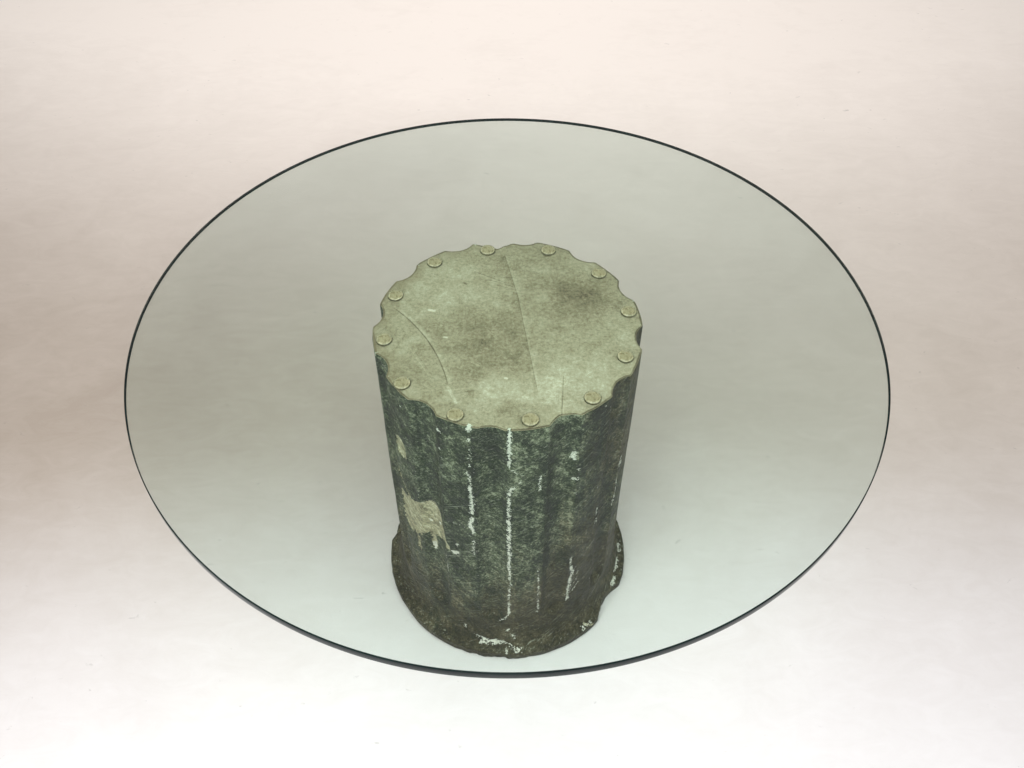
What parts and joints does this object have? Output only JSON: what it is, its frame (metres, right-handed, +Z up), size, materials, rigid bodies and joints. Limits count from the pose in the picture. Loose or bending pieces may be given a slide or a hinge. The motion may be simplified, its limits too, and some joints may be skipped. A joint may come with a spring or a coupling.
{
  "type": "round pedestal table",
  "caption": "Round table: a loose green-tinted clear glass disc resting on clear disc bumpers, on a weathered fluted column drum with a flared foot.",
  "frame": {"origin": "centre of the drum's foot, on the floor", "axes": "+Z up along the column's axis; -Y towards the front, the side between bumpers 10 and 11; +X to the right"},
  "size_m": [1.22, 1.22, 0.7186],
  "materials": {
    "patinated_stone": "cast or carved stone under a dark green-grey patina, worn white along the flute edges, chipped to beige; sawn sage-green top face",
    "clear_bumper": "clear soft plastic, slightly yellowed and dusty",
    "green_glass": "clear float glass with a green tint, flat polished edge"
  },
  "bodies": {
    "pedestal": {"column_drum": "patinated_stone", "bumper_01": "clear_bumper", "bumper_02": "clear_bumper", "bumper_03": "clear_bumper", "bumper_04": "clear_bumper", "bumper_05": "clear_bumper", "bumper_06": "clear_bumper", "bumper_07": "clear_bumper", "bumper_08": "clear_bumper", "bumper_09": "clear_bumper", "bumper_10": "clear_bumper", "bumper_11": "clear_bumper", "bumper_12": "clear_bumper"},
    "glass": {"glass_top": "green_glass"}
  },
  "joints": [
    {"name": "glass_lift", "type": "slide", "parent": "pedestal", "child": "glass", "axis": [0, 0, 1], "range_m": [0, 0.15]}
  ]
}
